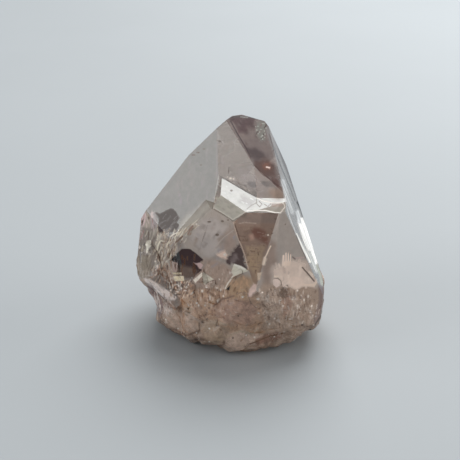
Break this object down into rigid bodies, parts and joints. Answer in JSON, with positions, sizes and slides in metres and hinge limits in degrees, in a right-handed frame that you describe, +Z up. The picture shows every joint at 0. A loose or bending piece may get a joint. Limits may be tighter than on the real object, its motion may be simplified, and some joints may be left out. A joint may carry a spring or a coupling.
{
  "type": "smoky quartz crystal",
  "caption": "Single smoky quartz crystal with flat tapering faces, a stepped ledge at the front and a broken, lumpy foot cut flat to rest on.",
  "frame": {"origin": "middle of the flat foot, at the bottom centre of the bounding box", "axes": "+Z up towards the crystal's tip, -Y towards the stepped front, +X to the right of that front"},
  "size_m": [0.0386, 0.032, 0.0439],
  "materials": {
    "smoky_quartz": "clear to milky natural crystal, glossy faces, rough foot"
  },
  "bodies": {
    "root": {"smoky_quartz": "smoky_quartz"}
  },
  "joints": []
}
